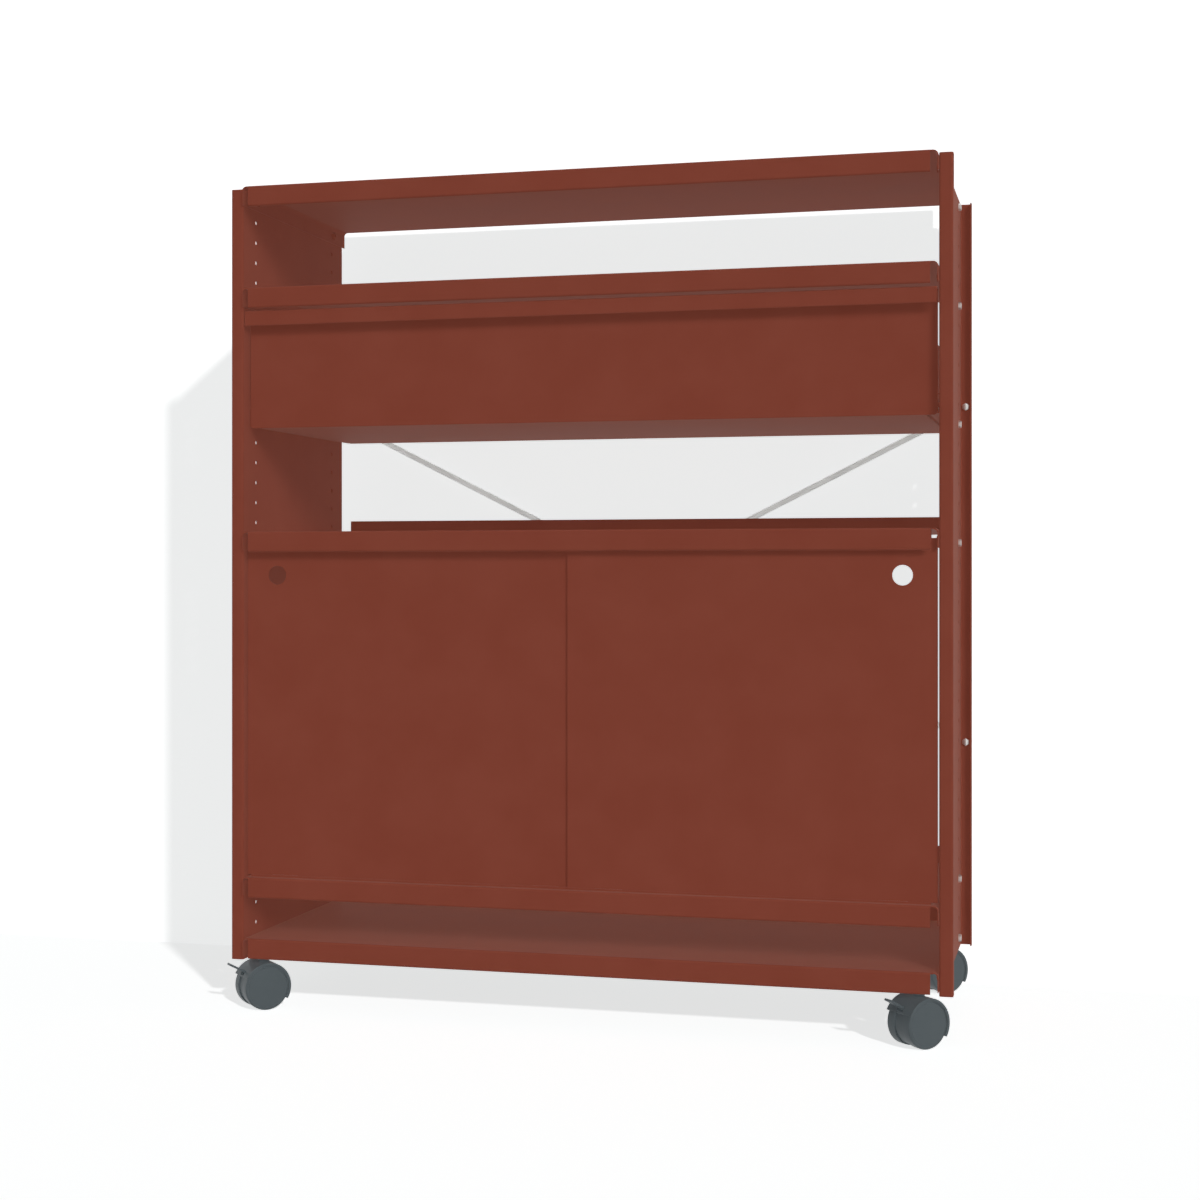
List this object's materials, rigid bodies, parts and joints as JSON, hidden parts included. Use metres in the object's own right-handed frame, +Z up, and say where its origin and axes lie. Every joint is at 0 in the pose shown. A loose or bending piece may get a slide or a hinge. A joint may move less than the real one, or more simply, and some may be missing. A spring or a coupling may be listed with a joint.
{
  "type": "tall sideboard on wheels",
  "caption": "Tall sheet metal sideboard on twin wheel castors: open lipped shelves, a full width drawer, a cabinet closed by sliding doors, and a cross brace at the back.",
  "frame": {"origin": "on the floor, under the middle of the cabinet's frame", "axes": "+Z up, the front with the drawer and doors faces -Y, +X to the right seen from the front"},
  "size_m": [1.056, 0.4612, 1.24],
  "materials": {
    "coated_steel": "fine textured powder coat, satin",
    "zinc_steel": "bright zinc plate",
    "rod_steel": "light grey satin coat",
    "nylon": "natural moulded nylon",
    "castor_plastic": "moulded, satin",
    "wheel_plastic": "moulded, satin"
  },
  "bodies": {
    "cabinet": {"side_panel_left": "coated_steel", "side_panel_right": "coated_steel", "top_shelf": "coated_steel", "drawer_shelf": "coated_steel", "cabinet_top": "coated_steel", "cabinet_floor": "coated_steel", "bottom_shelf": "coated_steel", "shelf_bolts": "zinc_steel", "shelf_nuts": "coated_steel", "brace_rod_front": "rod_steel", "brace_rod_back": "rod_steel", "brace_bolts": "zinc_steel", "brace_nuts": "zinc_steel", "brace_spacers": "zinc_steel", "door_track_top": "coated_steel", "door_track_bottom": "coated_steel", "runner_left": "coated_steel", "runner_right": "coated_steel", "runner_bolts": "zinc_steel", "runner_nuts": "zinc_steel", "castor_brackets": "coated_steel", "castor_stems": "zinc_steel"},
    "left_door": {"door_left": "coated_steel", "door_glides_left": "nylon"},
    "right_door": {"door_right": "coated_steel", "door_glides_right": "nylon"},
    "drawer": {"drawer_front": "coated_steel", "drawer_box": "coated_steel", "drawer_nuts": "zinc_steel", "drawer_rail_left": "coated_steel", "drawer_rail_right": "coated_steel"},
    "roller_front_left": {"roller_front_left": "nylon"},
    "roller_front_right": {"roller_front_right": "nylon"},
    "roller_back_left": {"roller_back_left": "nylon"},
    "roller_back_right": {"roller_back_right": "nylon"},
    "castor_fl": {"castor_housing_fl": "castor_plastic", "castor_axle_fl": "zinc_steel"},
    "wheel_fl_a": {"castor_wheel_fl_a": "wheel_plastic"},
    "wheel_fl_b": {"castor_wheel_fl_b": "wheel_plastic"},
    "brake_fl": {"brake_lever_fl": "castor_plastic"},
    "castor_fr": {"castor_housing_fr": "castor_plastic", "castor_axle_fr": "zinc_steel"},
    "wheel_fr_a": {"castor_wheel_fr_a": "wheel_plastic"},
    "wheel_fr_b": {"castor_wheel_fr_b": "wheel_plastic"},
    "brake_fr": {"brake_lever_fr": "castor_plastic"},
    "castor_bl": {"castor_housing_bl": "castor_plastic", "castor_axle_bl": "zinc_steel"},
    "wheel_bl_a": {"castor_wheel_bl_a": "wheel_plastic"},
    "wheel_bl_b": {"castor_wheel_bl_b": "wheel_plastic"},
    "castor_br": {"castor_housing_br": "castor_plastic", "castor_axle_br": "zinc_steel"},
    "wheel_br_a": {"castor_wheel_br_a": "wheel_plastic"},
    "wheel_br_b": {"castor_wheel_br_b": "wheel_plastic"}
  },
  "joints": [
    {"name": "left_door_slide", "type": "slide", "parent": "cabinet", "child": "left_door", "axis": [1, 0, 0], "range_m": [0, 0.494]},
    {"name": "right_door_slide", "type": "slide", "parent": "cabinet", "child": "right_door", "axis": [-1, 0, 0], "range_m": [0, 0.494]},
    {"name": "drawer_slide", "type": "slide", "parent": "cabinet", "child": "drawer", "axis": [0, -1, 0], "range_m": [0, 0.285]},
    {"name": "roller_front_left_spin", "type": "hinge", "parent": "cabinet", "child": "roller_front_left", "pos_m": [-0.499, -0.1585, 0.8734], "axis": [1, 0, 0], "continuous": true},
    {"name": "roller_front_right_spin", "type": "hinge", "parent": "cabinet", "child": "roller_front_right", "pos_m": [0.499, -0.1585, 0.8734], "axis": [1, 0, 0], "continuous": true},
    {"name": "roller_back_left_spin", "type": "hinge", "parent": "drawer", "child": "roller_back_left", "pos_m": [-0.499, 0.154, 0.8728], "axis": [1, 0, 0], "continuous": true},
    {"name": "roller_back_right_spin", "type": "hinge", "parent": "drawer", "child": "roller_back_right", "pos_m": [0.499, 0.154, 0.8728], "axis": [1, 0, 0], "continuous": true},
    {"name": "castor_fl_swivel", "type": "hinge", "parent": "cabinet", "child": "castor_fl", "pos_m": [-0.481, -0.183, 0.069], "axis": [0, 0, 1], "continuous": true},
    {"name": "wheel_fl_a_spin", "type": "hinge", "parent": "castor_fl", "child": "wheel_fl_a", "pos_m": [-0.48312, -0.18512, 0.0335], "axis": [0.7071, -0.7071, 0], "continuous": true},
    {"name": "wheel_fl_b_spin", "type": "hinge", "parent": "castor_fl", "child": "wheel_fl_b", "pos_m": [-0.48312, -0.18512, 0.0335], "axis": [0.7071, -0.7071, 0], "continuous": true},
    {"name": "brake_fl_press", "type": "hinge", "parent": "castor_fl", "child": "brake_fl", "pos_m": [-0.49161, -0.19361, 0.0471], "axis": [0.7071, -0.7071, 0], "range_deg": [0, 12]},
    {"name": "castor_fr_swivel", "type": "hinge", "parent": "cabinet", "child": "castor_fr", "pos_m": [0.481, -0.183, 0.069], "axis": [0, 0, 1], "continuous": true},
    {"name": "wheel_fr_a_spin", "type": "hinge", "parent": "castor_fr", "child": "wheel_fr_a", "pos_m": [0.47888, -0.18512, 0.0335], "axis": [0.7071, -0.7071, 0], "continuous": true},
    {"name": "wheel_fr_b_spin", "type": "hinge", "parent": "castor_fr", "child": "wheel_fr_b", "pos_m": [0.47888, -0.18512, 0.0335], "axis": [0.7071, -0.7071, 0], "continuous": true},
    {"name": "brake_fr_press", "type": "hinge", "parent": "castor_fr", "child": "brake_fr", "pos_m": [0.47039, -0.19361, 0.0471], "axis": [0.7071, -0.7071, 0], "range_deg": [0, 12]},
    {"name": "castor_bl_swivel", "type": "hinge", "parent": "cabinet", "child": "castor_bl", "pos_m": [-0.481, 0.183, 0.069], "axis": [0, 0, 1], "continuous": true},
    {"name": "wheel_bl_a_spin", "type": "hinge", "parent": "castor_bl", "child": "wheel_bl_a", "pos_m": [-0.48312, 0.18088, 0.0335], "axis": [0.7071, -0.7071, 0], "continuous": true},
    {"name": "wheel_bl_b_spin", "type": "hinge", "parent": "castor_bl", "child": "wheel_bl_b", "pos_m": [-0.48312, 0.18088, 0.0335], "axis": [0.7071, -0.7071, 0], "continuous": true},
    {"name": "castor_br_swivel", "type": "hinge", "parent": "cabinet", "child": "castor_br", "pos_m": [0.481, 0.183, 0.069], "axis": [0, 0, 1], "continuous": true},
    {"name": "wheel_br_a_spin", "type": "hinge", "parent": "castor_br", "child": "wheel_br_a", "pos_m": [0.47888, 0.18088, 0.0335], "axis": [0.7071, -0.7071, 0], "continuous": true},
    {"name": "wheel_br_b_spin", "type": "hinge", "parent": "castor_br", "child": "wheel_br_b", "pos_m": [0.47888, 0.18088, 0.0335], "axis": [0.7071, -0.7071, 0], "continuous": true}
  ],
  "couplings": [
    {"joint": "roller_front_left_spin", "follows": "drawer_slide", "rad_per_m": 100},
    {"joint": "roller_front_right_spin", "follows": "drawer_slide", "rad_per_m": 100},
    {"joint": "roller_back_left_spin", "follows": "drawer_slide", "rad_per_m": 100},
    {"joint": "roller_back_right_spin", "follows": "drawer_slide", "rad_per_m": 100}
  ]
}
